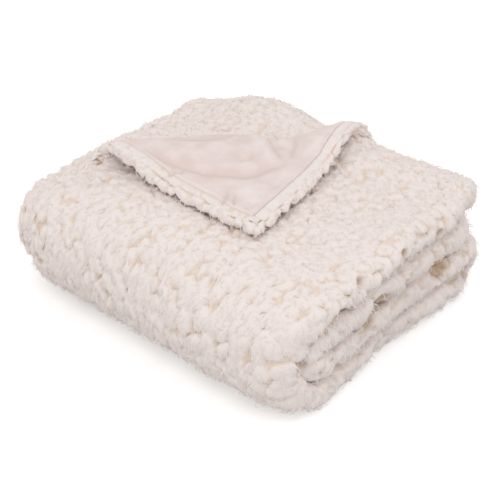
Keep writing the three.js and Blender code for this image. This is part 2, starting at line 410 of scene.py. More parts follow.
    def corner_turned(self, u: Array, v: Array, n: Array) -> tuple[Array, Array, Array]:
        """Turns the free corner over a roll, down on to the pile."""
        u, v, beyond = self.beyond_crease(u, v)
        to_short_hem = (u * self.crease_normal[1] - v * self.crease_normal[0]) / self.crease_distance
        inside = self.open_long + (self.open_short - self.open_long) * smooth(to_short_hem / 2 + 0.5)
        radius = self.ply + inside
        angle = np.clip(beyond / radius, 0.0, math.pi)
        past = beyond - angle * radius
        reach = (radius - n) * np.sin(angle) - past
        lift = (2 * inside - self.clearance) * smooth(past / self.settles)
        height = radius - (radius - n) * np.cos(angle) - lift
        step = np.where(beyond > 0, beyond - reach, 0.0)
        turned_n = np.where(beyond > 0, height, n)
        return u + self.crease_normal[0] * step, v + self.crease_normal[1] * step, turned_n

    def folded(self, u: Array, v: Array, n: Array) -> tuple[Array, Array, Array]:
        """Folds the sheet in thirds, and the strip in half and in half again."""
        x, layer_height = self.across.at(u, n)
        y, z = self.along.at(v, (self.layer - self.gap) / 2 - (layer_height - self.underside))
        return x + self.start_x, y + self.start_y, z + self.start_z

    def settled(self, x: Array, y: Array, z: Array) -> Array:
        """Lets the bundle settle: corners draw in, sides wander and each push moves it."""
        width = 1 - self.drawn_in_ends * (y / self.half_depth) ** self.corner_power
        depth = 1 - self.drawn_in_sides * (x / self.half_width) ** self.corner_power
        pace_x, pace_y, pace_z = self.wander_pace
        wave_x = self.wander * np.sin(y / pace_y + z / pace_z)
        wave_y = self.wander * np.sin(x / pace_x - z / pace_z)
        moved_x = x * width + wave_x * (x / self.half_width) - self.off_middle[0]
        moved_y = y * depth + wave_y * (y / self.half_depth) - self.off_middle[1]
        moved = np.stack([moved_x, moved_y, z], axis=-1)
        start = np.stack([x, y, z], axis=-1)
        grip = np.stack([np.ones_like(z), np.ones_like(z), np.minimum(z / self.height, 1.0)], axis=-1)
        for push in self.pushes:
            away = ((start - np.array(push.at) * MM) ** 2).sum(axis=-1, keepdims=True)
            moved += np.array(push.by) * MM * np.exp(-away / (push.reach * MM) ** 2) * grip
        return moved

    def wrinkles(self, u: Array, v: Array) -> Array:
        """Returns how deep the turned corner is wrinkled at each point of the flat sheet."""
        return sum(trough.at(u, v) for trough in self.troughs)

    def place(self, u: Array, v: Array, n: Array) -> Array:
        """Returns where each point of the flat sheet lies in the folded blanket."""
        return self.settled(*self.folded(*self.corner_turned(u, v, n + self.wrinkles(u, v))))


# ---- Panels ----


class Region(Enum):
    """The part of the bundle that a patch of pile belongs to."""

    TOP_NEAR = 0
    TOP_FAR = 1
    NEAR_SIDE = 2
    FAR_SIDE = 3
    RIGHT_END = 4
    LEFT_END = 5
    UNDERSIDE = 6
    TURNED_CORNER = 7


@dataclass
class Grid:
    """A panel's points: a row for each u and a column for each v, on its smooth side and pile side."""

    u: Array
    v: Array
    smooth_side: Array
    pile_side: Array

    @property
    def index(self) -> Array:
        """The number of each point of one side."""
        return np.arange(self.u.size).reshape(self.u.shape)

    def quads(self) -> Array:
        """Returns the corners of each cell as indices into one side, in order round the smooth side."""
        index = self.index
        corners = [index[:-1, :-1], index[1:, :-1], index[1:, 1:], index[:-1, 1:]]
        return np.stack([c.ravel() for c in corners], axis=1)

    def closed(self) -> tuple[Array, Array]:
        """Returns the vertices and faces of the closed sheet, faces outward."""
        index, count, quads = self.index, self.u.size, self.quads()
        rim = np.concatenate([index[:-1, 0], index[-1, :-1], index[:0:-1, -1], index[0, :0:-1]])
        ahead = np.roll(rim, -1)
        hems = np.stack([rim, rim + count, ahead + count, ahead], axis=1)
        vertices = np.concatenate([self.smooth_side.reshape(-1, 3), self.pile_side.reshape(-1, 3)])
        return vertices, np.concatenate([quads, quads[:, ::-1] + count, hems])

    def pile_normals(self) -> Array:
        """Returns the outward normal of the pile side at each point."""
        along_u, along_v = np.gradient(self.pile_side, axis=(0, 1))
        return unit(np.cross(along_v, along_u))


def placed(name: str, data: bpy.types.ID) -> Piece:
    """Makes an object of its data, linked to the scene."""
    made = bpy.data.objects.new(name, data)
    bpy.context.scene.collection.objects.link(made)
    return made


def new_mesh_object(name: str, vertices: Array, faces: Array) -> Piece:
    """Makes a smooth-shaded mesh object at the origin.

    Args:
        name: the piece's name.
        vertices: one row for each point, in metres.
        faces: one row of point indices for each face.

    Returns:
        The new object, linked to the scene.
    """
    mesh = bpy.data.meshes.new(name)
    mesh.from_pydata(vertices.tolist(), [], faces.tolist())
    mesh.polygons.foreach_set("use_smooth", [True] * len(mesh.polygons))
    mesh.update()
    return placed(name, mesh)


def store(mesh: bpy.types.Mesh, name: str, values: Array, domain: str = "POINT") -> None:
    """Stores one value, or one vector, for each point or face of a mesh."""
    kinds = {("i", 1): ("INT", "value"), ("f", 1): ("FLOAT", "value"), ("f", 2): ("FLOAT_VECTOR", "vector")}
    kind, key = kinds[values.dtype.kind, values.ndim]
    mesh.attributes.new(name, kind, domain).data.foreach_set(key, values.ravel())


@dataclass
class Panel:
    """One panel of the blanket: a thin closed sheet between two heights through the cloth."""

    bundle: Bundle
    name: str
    lower: float
    upper: float
    detail: float
    fine: float
    inside: float = 0.0
    fine_to: float = 240 * MM
    hem: float = 2 * MM

    def insets(self) -> Pair:
        """Returns how far the panel is drawn in at its long hems and at its short hems."""
        return self.bundle.long_roll + self.inside, self.bundle.short_roll + self.inside

    def flat_size(self) -> Pair:
        """Returns the width and length of the panel as it was cut."""
        long_inset, short_inset = self.insets()
        return self.bundle.across.length - 2 * long_inset, self.bundle.along.length - 2 * short_inset

    def heights(self, u: Array, v: Array) -> tuple[Array, Array]:
        """Returns the heights of the smooth side and the pile side through the cloth."""
        return np.full_like(u, self.lower), np.full_like(u, self.upper)

    def build(self) -> tuple[Piece, Grid]:
        """Makes the panel as a closed sheet on the folds.

        Returns:
            The piece and its grid.
        """
        lines = [
            section.stations(self.detail, inset, self.hem, self.fine, self.fine_to)
            for section, inset in zip((self.bundle.across, self.bundle.along), self.insets())
        ]
        u, v = np.meshgrid(*lines, indexing="ij")
        grid = Grid(u, v, *(self.bundle.place(u, v, height) for height in self.heights(u, v)))
        piece = new_mesh_object(self.name, *grid.closed())
        LOG.info("%s: %d faces", self.name, len(piece.data.polygons))
        return piece, grid


@dataclass
class FluffyFace(Panel):
    """The ground cloth of the fluffy face."""

    name: str = "fluffy_face_cloth"
    lower: float = 1.9 * MM
    upper: float = 4.5 * MM
    detail: float = 0.42
    fine: float = 12 * MM
    inside: float = 3 * MM
    floor_touch: float = 14 * MM
    side_slope: float = 0.62
    under_wrinkles: float = 3 * MM
    wrinkles_run: float = 40 * MM

    def heights(self, u: Array, v: Array) -> tuple[Array, Array]:
        """Keeps the ground cloth clear of the backing where the turned corner is wrinkled."""
        beyond = self.bundle.beyond_crease(u, v)[2]
        clear = self.under_wrinkles * smooth(beyond / self.wrinkles_run + 0.5)
        return self.lower + clear, self.upper + clear

    def regions(self, grid: Grid) -> Array:
        """Returns the region of each cell of the pile side, by the first rule that it meets."""
        cells = grid.quads()
        x, y, z = grid.pile_side.reshape(-1, 3)[cells].mean(axis=1).T
        slope_x, slope_y, slope_z = grid.pile_normals().reshape(-1, 3)[cells].mean(axis=1).T
        u, v = grid.u.ravel()[cells].mean(axis=1), grid.v.ravel()[cells].mean(axis=1)
        top = (slope_z > self.side_slope) & (z > self.bundle.height / 2)
        end = np.abs(slope_x) > np.abs(slope_y)
        rules = {
            Region.TURNED_CORNER: self.bundle.beyond_crease(u, v)[2] > 0,
            Region.UNDERSIDE: (slope_z < -self.side_slope) & (z < self.floor_touch),
            Region.TOP_NEAR: top & (y < 0),
            Region.TOP_FAR: top,
            Region.RIGHT_END: end & (x > 0),
            Region.LEFT_END: end,
            Region.NEAR_SIDE: y < 0,
        }
        found = np.select(list(rules.values()), [region.value for region in rules], Region.FAR_SIDE.value)
        return found.astype(np.int32)


@dataclass
class SmoothBacking(Panel):
    """The smooth backing, with its rolled hem; places across the hem are shares of its width."""

    name: str = "smooth_backing_cloth"
    lower: float = 0.0
    upper: float = 1.6 * MM
    detail: float = 0.4
    fine: float = 2.8 * MM
    hem_width: float = 9 * MM
    hem_ridge: float = 1.6 * MM
    ridge_at: float = 0.55
    ridge_tight: float = 6
    seam_depth: float = 0.5 * MM
    seam_at: float = 1.4
    seam_tight: float = 16
    hem_drop: float = 4 * MM
    edge_to: float = 0.5
    under_from: float = 0.1
    full_sunk: float = 5 * MM

    def hem_distance(self, u: Array, v: Array) -> Array:
        """Returns how far each point is from the panel's nearest hem."""
        long_inset, short_inset = self.insets()
        across, along = self.bundle.across.length, self.bundle.along.length
        return np.minimum(np.minimum(u, across - u) - long_inset, np.minimum(v, along - v) - short_inset)

    def heights(self, u: Array, v: Array) -> tuple[Array, Array]:
        """Rolls the hem over, down to the ground cloth at its edge, with a dip inside it."""
        place = self.hem_distance(u, v) / self.hem_width
        ridge = self.hem_ridge * np.exp(-self.ridge_tight * (place - self.ridge_at) ** 2)
        seam = self.seam_depth * np.exp(-self.seam_tight * (place - self.seam_at) ** 2)
        round_edge = np.sqrt(np.clip(1 - (1 - np.minimum(place / self.edge_to, 1)) ** 2, 0, 1))
        under = 1 - smooth((place - self.under_from) / (self.edge_to - self.under_from))
        lower = self.lower - ridge + seam + self.hem_drop * (1 - round_edge)
        return lower, self.upper + self.hem_drop * under

    def build(self) -> tuple[Piece, Grid]:
        """Makes the backing, with how far each point is sunk in a crease.

        Returns:
            The piece and its grid.
        """
        piece, grid = super().build()
        # how sunk each point is drives the painted shade in the plush's creases
        sunk = np.clip(self.bundle.wrinkles(grid.u, grid.v) / self.full_sunk, -1, 1)
        store(piece.data, "sunk", np.tile(sunk.ravel(), 2))
        return piece, grid


class Daylight:
    """How much of the room each point of the pile sees past the plies."""

    golden_turn = math.pi * (3 - math.sqrt(5))
    steep = 0.9

    def __init__(self, grids: list[Grid], rays: int, reach: float) -> None:
        """Gathers the sheets that stand in the light's way.

        Args:
            grids: the panels.
            rays: how many directions are tried at each point.
            reach: how far each ray goes.
        """
        vertices: list[list[float]] = []
        faces: list[list[int]] = []
        for grid in grids:
            points, quads = grid.closed()
            faces += (quads + len(vertices)).tolist()
            vertices += points.tolist()
        self.tree = BVHTree.FromPolygons(vertices, faces)
        self.reach = reach
        turn = np.arange(rays) * self.golden_turn
        rise = (np.arange(rays) + 0.5) / rays
        flat = np.sqrt(1 - rise**2)
        self.directions = np.stack([flat * np.cos(turn), flat * np.sin(turn), rise], axis=1)

    def at(self, points: Array, normals: Array) -> Array:
        """Returns the share of the rays that get away from each point."""
        lying = np.abs(normals[:, 2:]) < self.steep
        side = unit(np.cross(normals, np.where(lying, [[0, 0, 1]], [[1, 0, 0]])))
        frames = np.stack([side, np.cross(normals, side), normals], axis=1)
        rays = np.einsum("rk,pkc->prc", self.directions, frames)
        return np.array([
            sum(self.tree.ray_cast(origin, ray, self.reach)[0] is None for ray in fan) / len(fan)
            for origin, fan in zip(points.tolist(), rays.tolist())
        ])


# ---- Node trees ----


class NodeMaker:
    """Adds nodes to a tree and joins them up."""

    def __init__(self, tree: Tree) -> None:
        """Starts on a tree."""
        self.tree = tree

    @staticmethod
    def socket(sockets: bpy.types.bpy_prop_collection, name: str | int) -> Socket:
        """Returns the socket in use with a name, or at a place in the list."""
        if isinstance(name, int):
            return sockets[name]
        return next(s for s in sockets if s.name == name and s.enabled)

    def add(self, kind: str, inputs: dict | None = None, **settings: object) -> Node:
        """Adds a node.

        Args:
            kind: the node's type.
            inputs: for each input's name or place, its value or the output that feeds it.
            settings: the node's own settings.

        Returns:
            The new node.
        """
        node = self.tree.nodes.new(kind)
        for name, value in settings.items():
            setattr(node, name, value)
        for name, value in (inputs or {}).items():
            socket = self.socket(node.inputs, name)
            if isinstance(value, Node):
                value = next(s for s in value.outputs if s.enabled)
            if isinstance(value, Socket):
                self.tree.links.new(value, socket)
            else:
                socket.default_value = value
        return node

    def math(self, operation: str, *values: object) -> Node:
        """Adds a Math node on one to three values."""
        return self.add("ShaderNodeMath", dict(enumerate(values)), operation=operation)

    def product(self, first: object, *others: object) -> object:
        """Adds the Math nodes that multiply values together."""
        for other in others:
            first = self.math("MULTIPLY", first, other)
        return first

    def around_one(self, value: object, spread: object) -> Node:
        """Adds a Math node that gives one and a share of a value."""
        return self.math("MULTIPLY_ADD", value, spread, 1.0)

    def up_from(self, low: float, value: object) -> Node:
        """Adds a Math node that goes from low to 1 as a value goes from 0 to 1."""
        return self.math("MULTIPLY_ADD", value, 1 - low, low)

    def attribute(self, name: str, data_type: str = "FLOAT") -> Node:
        """Adds a Named Attribute node."""
        return self.add("GeometryNodeInputNamedAttribute", {"Name": name}, data_type=data_type)

    def keep(self, geometry: object, name: str, value: object, data_type: str = "FLOAT") -> Node:
        """Adds a Store Named Attribute node."""
        inputs = {"Geometry": geometry, "Name": name, "Value": value}
        return self.add("GeometryNodeStoreNamedAttribute", inputs, data_type=data_type)

    def spread(self, low: object, high: object, seed: int, data_type: str = "FLOAT") -> Node:
        """Adds a Random Value node between two values or vectors."""
        inputs = {"Min": low, "Max": high, "Seed": seed}
        return self.add("FunctionNodeRandomValue", inputs, data_type=data_type)

    def blend(self, share: object, first: object, second: object) -> Node:
        """Adds a mix from a first colour to a second."""
        return self.add("ShaderNodeMix", {"Factor": share, "A": first, "B": second}, data_type="RGBA")

    def stored(self, name: str) -> Socket:
        """Adds a shader's Attribute node and returns its value."""
        return self.add("ShaderNodeAttribute", attribute_name=name).outputs["Fac"]


def new_tree(name: str, kind: str, inputs: dict[str, str], outputs: dict[str, str]) -> Tree:
    """Makes an empty node tree with the sockets that it puts out and takes in, each with its kind."""
    tree = bpy.data.node_groups.new(name, kind)
    for way, sockets in (("INPUT", inputs), ("OUTPUT", outputs)):
        for label, socket in sockets.items():
            tree.interface.new_socket(label, in_out=way, socket_type=f"NodeSocket{socket}")
    return tree


# ---- The pile ----


def drift(a: Array, b: Array, size: float, seed: int) -> Array:
    """Returns a smooth random value from -1 to 1 that changes over a size."""
    chance = np.random.default_rng(seed).uniform(-1, 1, (PATCH, PATCH))
    i, j = np.floor(a / size).astype(int), np.floor(b / size).astype(int)
    s, t = smooth(a / size - i), smooth(b / size - j)
    near, far = (
        chance[i % PATCH, row % PATCH] * (1 - s) + chance[(i + 1) % PATCH, row % PATCH] * s
        for row in (j, j + 1)
    )
    return near * (1 - t) + far * t


@dataclass(frozen=True)
class Clumps:
    """How the pile gathers: rounded clumps that crowd together all over the cloth."""

    spacing: float
    radius: float
    scatter: float = 0.9
    size_spread: float = 0.28
    height_spread: float = 0.35
    blend: float = 6.0
    curl: float = 1.2
    warp: float = 2.4 * MM
    warp_size: float = 6 * MM
    seed: int = SEED

    def at(self, a: Array, b: Array) -> tuple[Array, Array, Array, Array]:
        """Finds the clump that stands highest at each point.

        Args:
            a: distances across the cloth.
            b: distances along the cloth.

        Returns:
            The domed height from 0 to 1, the way that the clump's fibres lie across and along the cloth,
            and the clump's own tone from 0 to 1.
        """
        chance = np.random.default_rng(self.seed).random((PATCH, PATCH, 6))
        shifts = [self.warp * drift(a, b, self.warp_size, self.seed + k) for k in (1, 2)]
        a, b = a + shifts[0], b + shifts[1]
        cell_a, cell_b = (np.floor(c / self.spacing).astype(int) for c in (a, b))
        total, best = np.zeros_like(a), np.full_like(a, -1.0)
        found = np.zeros((3, *a.shape))
        for i, j in ((cell_a + k, cell_b + m) for k in (-1, 0, 1) for m in (-1, 0, 1)):
            shift_a, shift_b, size, tall, tone, turn = np.moveaxis(chance[i % PATCH, j % PATCH], -1, 0)
            from_a = a - (i + 0.5 + (shift_a - 0.5) * self.scatter) * self.spacing
            from_b = b - (j + 0.5 + (shift_b - 0.5) * self.scatter) * self.spacing
            reach = self.radius * (1 + self.size_spread * (2 * size - 1))
            dome = np.sqrt(np.clip(1 - (from_a**2 + from_b**2) / reach**2, 0.0, None))
            dome *= 1 - self.height_spread * tall
            total += dome**self.blend
            angle = self.curl * (2 * turn - 1)
            lie_a = (from_a * np.cos(angle) - from_b * np.sin(angle)) / reach
            lie_b = (from_a * np.sin(angle) + from_b * np.cos(angle)) / reach
            found = np.where(dome > best, (lie_a, lie_b, tone), found)
            best = np.maximum(dome, best)
        return total ** (1 / self.blend), *found


@dataclass(frozen=True)
class HemRoll:
    """How the pile rolls over a hem: round the edge and in under the backing's own hem."""

    middle: float = 9.5 * MM
    run: float = 38 * MM
    turn: float = 255.0
    squareness: float = 3.0
    slimmer: float = 0.35
    tucked: float = 11.5 * MM
    tuck_from: float = 0.78

    def lines(self, flat: Array, length: float, pitch: float) -> Array:
        """Returns a panel's lines with the ones that go round its two hems, the first ones below 0."""
        inner = flat[(flat > self.middle + pitch / 2) & (flat < length - self.middle - pitch / 2)]
        turned = np.linspace(0, self.run, round(self.run / pitch) + 1)
        return np.concatenate([self.middle - turned[::-1], inner, length - self.middle + turned])

    def share(self, u: Array, v: Array, bundle: Bundle) -> tuple[Array, Array, Array]:
        """Returns how far round the hem each point is, from 0 to 1, and how much is across and along."""
        round_u, round_v = (
            (np.clip(c, self.middle, section.length - self.middle) - c) / self.run
            for c, section in ((u, bundle.across), (v, bundle.along))
        )
        power = self.squareness
        return (np.abs(round_u) ** power + np.abs(round_v) ** power) ** (1 / power), round_u, round_v

    def place(self, u: Array, v: Array, root: float, height: Array, bundle: Bundle) -> Array:
        """Returns the points of the pile, a height above the root line, rolled over at the hems."""
        share, round_u, round_v = self.share(u, v, bundle)
        part = np.minimum(share, 1.0)
        angle = math.radians(self.turn) * part
        tucked = smooth((part - self.tuck_from) / (1 - self.tuck_from))
        slimmed = height * (1 - self.slimmer * smooth(part / self.tuck_from))
        reach = slimmed * (1 - tucked) + self.tucked * tucked
        out = self.run - np.sin(angle) * reach / np.maximum(share, TINY)
        return bundle.place(u + out * round_u, v + out * round_v, root + np.cos(angle) * reach)


@dataclass(frozen=True)
class Parting:
    """A place where the pile parts and shows its brown roots, partly painted shade in the hollow, in
    millimetres from the bundle's middle.
    """

    at: Triple
    reach: Triple

    def closed(self, points: Array) -> Array:
        """Returns how closed the pile is at each point, 0 at the middle of the parting."""
        away = (points - np.array(self.at) * MM) / (np.array(self.reach) * MM)
        return 1 - bell((away**2).sum(axis=-1))


@dataclass
class PileBody:
    """The body of the pile: one soft clumped surface over whatever part of the fluffy face can be seen."""

    face: FluffyFace
    clumps: Clumps = Clumps(10.5 * MM, 7.9 * MM, height_spread=0.3)
    knobs: Clumps = Clumps(4.8 * MM, 3.7 * MM, warp=1.0 * MM, warp_size=4 * MM, seed=SEED + 20)
    roll: HemRoll = HemRoll()
    pitch: float = 1.9 * MM
    sunk: float = 0.8 * MM
    crease_height: float = 1.6 * MM
    dome_height: float = 8.4 * MM
    knob_height: float = 1.5 * MM
    lump_height: float = 0.5 * MM
    lump_size: float = 3.2 * MM
    light_pitch: float = 7 * MM
    dark_limit: float = 0.08
    full_daylight: float = 0.3
    parted_height: float = 1.0 * MM
    parted_tufts: float = 3.4 * MM
    pressed: float = 0.42
    pressed_from: float = 0.4
    # painted shade: how much daylight it takes to clear the painted brown shade
    light_clears_shade: float = 1.5
    opened: float = 1.9
    ragged: float = 1.0
    # painted shade: how brown the pile is painted where no daylight reaches
    shaded: float = 0.6
    paler_tufts: float = 0.3
    hung: float = 1.7
    wrapped: float = 2.0
    hem_fullness: float = 0.45
    hem_full_by: float = 0.25
    fullest: float = 140 * MM
    fullness_run: float = 110 * MM
    droop: float = 1.2
    bare: float = 0.8
    overhang: float = -0.8
    floor_clearance: float = 0.2 * MM
    coarse: tuple[str, ...] = ("bottom layer", "third layer", "second layer", "inner third",
                               "middle third, underneath")
    partings: tuple[Parting, ...] = (
        Parting((216, 96, 69), (32, 20, 16)),  # right end, far loop
        Parting((228, 70, 130), (18, 11, 6)),  # right end, under the top layer, far
        Parting((230, -8, 142), (15, 7, 7)),  # right end, under the top layer, middle
        Parting((228, -76, 137), (17, 7, 8)),  # right end, under the top layer, near
        Parting((218, 16, 98), (28, 10, 8)),  # right end, over the second roll
        Parting((220, -32, 90), (32, 20, 12)),  # right end, heart of the fold
        Parting((216, -50, 74), (32, 18, 15)),  # right end, foot of the fold
        Parting((224, -116, 118), (26, 14, 10)),  # right end, near fold
        Parting((224, -160, 72), (26, 11, 15)),  # near right corner
        Parting((-205, -75, 150), (12, 9, 12)),  # left end, by the hem
    )

    @property
    def root(self) -> float:
        """The height through the cloth that the pile stands from."""
        return self.face.upper - self.sunk

    def middle(self, rows: Array, columns: Array, pitch: float) -> Grid:
        """Returns the pile's surface half way up, without its clumps, on lines that go round the hems."""
        bundle = self.face.bundle
        rows = self.roll.lines(rows, bundle.across.length, pitch)
        columns = self.roll.lines(columns, bundle.along.length, pitch)
        u, v = np.meshgrid(rows, columns, indexing="ij")
        half_height = np.full_like(u, (bundle.ply - self.root) / 2)
        points = self.roll.place(u, v, self.root, half_height, bundle)
        return Grid(u, v, points, points)

    def fullness(self, v: Array, round_hem: Array, upward: Array) -> Array:
        """Returns how full the pile is: more at the rolled hem, less where it is pressed on top."""
        hem = smooth(round_hem / self.hem_full_by) * bell((v - self.fullest) / self.fullness_run)
        pressed = self.pressed * smooth((upward - self.pressed_from) / (1 - self.pressed_from))
        return (1 + self.hem_fullness * hem) * (1 - pressed)

    def build(self, sky: Daylight, panel: Grid) -> Piece:
        """Makes the surface, with what the wisps on it need to know at each point.

        Args:
            sky: what each point's daylight is measured with.
            panel: the ground cloth's own grid.

        Returns:
            The surface, only to be copied from.
        """
        bundle = self.face.bundle
        across, along = bundle.across, bundle.along
        pile_side, outer_side = bundle.ply, (bundle.gap - bundle.layer) / 2
        rows = across.evenly(self.pitch, pile_side, self.coarse)
        columns = along.evenly(self.pitch, outer_side, self.coarse)
        grid = self.middle(rows, columns, self.pitch)
        u, v, normal = grid.u, grid.v, grid.pile_normals()
        light = self.daylight(sky, panel, u[:, 0], v[0])
        closed = np.prod([parting.closed(grid.pile_side) for parting in self.partings], axis=0)
        laid_u = across.laid(u, pile_side, {"right loop": self.wrapped})
        laid_v = along.laid(v, outer_side, {"outer wrap": self.hung})
        dome, lie_u, lie_v, tone = self.clumps.at(laid_u, laid_v)
        knob = self.knobs.at(laid_u, laid_v)[0]
        lumps = self.lump_height * drift(laid_u, laid_v, self.lump_size, SEED + 3)
        round_hem = self.roll.share(u, v, bundle)[0]
        fuller = self.fullness(v, round_hem, normal[..., 2])
        clumped = self.dome_height * dome * fuller + self.knob_height * knob * dome
        opened = np.clip(self.opened * (1 - closed) - self.ragged * knob, 0, 1)
        whole, parted = self.crease_height + clumped + lumps, self.parted_height + self.parted_tufts * knob
        height = light * ((1 - opened) * whole + opened * parted)
        top = self.roll.place(u, v, self.root, height, bundle)
        top[..., 2] = np.maximum(top[..., 2], self.floor_clearance)
        free = (round_hem < self.roll.tuck_from) & (top[..., 2] > 2 * self.floor_clearance)
        # painted shade: the pile is painted brown where little daylight reaches it
        shaded = self.shaded * (1 - np.minimum(light * self.light_clears_shade, 1))
        down = np.array([0, 0, -1.0]) + normal * normal[..., 2:]
        along_u, along_v = (unit(step) for step in np.gradient(grid.pile_side, axis=(0, 1)))
        return self.surface(grid, top, light > 0, round_hem <= 1 + ROUNDING, {
            "growth": light * closed**2 * free * smooth(dome / self.bare) * (normal[..., 2] > self.overhang),
            "comb": along_u * lie_u[..., None] + along_v * lie_v[..., None] + down * self.droop,
            "rise": dome,
            "tone": tone,
            "hanging": np.linalg.norm(down, axis=-1),
            # the parted value holds the brown of the partings and the painted shade where daylight is low
            "parted": np.maximum(opened, shaded) * (1 - self.paler_tufts * knob),
        })

    def surface(self, grid: Grid, top: Array, lit: Array, sewn: Array, values: dict[str, Array]) -> Piece:
        """Makes the mesh of the body from the cells that can be seen.

        Args:
            grid: the surface without its clumps.
            top: where each of its points ends up.
            lit: which points light reaches.
            sewn: which points lie within the roll of the hem.
            values: what the wisps need to know at each point.

        Returns:
            The mesh's object, with its values and regions stored.
        """
        quads, regions = grid.quads()[:, ::-1], self.face.regions(grid)
        shown = lit.ravel()[quads].any(axis=1) & sewn.ravel()[quads].all(axis=1)
        used, faces = np.unique(quads[shown], return_inverse=True)
        body = new_mesh_object("pile_body", top.reshape(-1, 3)[used], faces.reshape(-1, 4))
        for name, value in values.items():
            store(body.data, name, value.reshape(-1, *value.shape[2:])[used])
        store(body.data, "region", regions[shown], "FACE")
        LOG.info("pile body: %d faces", len(body.data.polygons))
        return body

    def daylight(self, sky: Daylight, panel: Grid, rows: Array, columns: Array) -> Array:
        """Returns how open the pile is at each crossing of its lines, from 0 to 1."""
        middle = self.middle(panel.u[:, 0], panel.v[0], self.light_pitch)
        normals = middle.pile_normals().reshape(-1, 3)
        seen = sky.at(middle.pile_side.reshape(-1, 3), normals).reshape(middle.u.shape)
        light = smooth((seen - self.dark_limit) / (self.full_daylight - self.dark_limit))
        across = np.array([np.interp(rows, middle.u[:, 0], line) for line in light.T]).T
        return np.array([np.interp(columns, middle.v[0], line) for line in across])


@dataclass(frozen=True)
class WispForm:
    """The form of one wisp of fibre, one unit long: it rises, leans over and thins out."""

    sides: int = 3
    bends: int = 2
    girth: float = 0.05
    rooted: float = -0.12
    leans: float = 0.2
    rises: float = 0.8
    tip: float = 0.2
    first_tone: float = 0.4
    girths: tuple[Pair, ...] = ((0.0, 0.8), (0.35, 1.0), (0.75, 1.0), (1.0, 0.55))

    def grow(self, make: NodeMaker) -> Node:
        """Adds the wisp, with its rise and the way round it kept as attributes.

        Args:
            make: the maker of the tree's nodes.

        Returns:
            The node that puts the wisp out.
        """
        spine = make.add("GeometryNodeCurveQuadraticBezier", {
            "Resolution": self.bends, "Start": (0.0, 0.0, self.rooted),
            "Middle": (self.leans, 0.0, self.rises), "End": (1.0, 0.0, self.tip),
        })
        rise = make.add("GeometryNodeSplineParameter").outputs["Factor"]
        taper = make.add("ShaderNodeFloatCurve", {"Value": rise})
        points = taper.mapping.curves[0].points
        first, *middle, last = self.girths
        points[0].location, points[1].location = first, last
        for place in middle:
            points.new(*place)
        taper.mapping.update()
        ring = make.add("GeometryNodeCurvePrimitiveCircle", {"Resolution": self.sides, "Radius": self.girth},
                        mode="RADIUS")
        ridge_up = make.add("GeometryNodeTransform", {"Geometry": ring, "Rotation": (0.0, 0.0, -math.pi / 2)})
        return make.add("GeometryNodeCurveToMesh", {
            "Curve": make.keep(spine, "rise", make.up_from(self.first_tone, rise)),
            "Profile Curve": make.keep(ridge_up, "around", rise), "Scale": taper, "Fill Caps": True,
        })


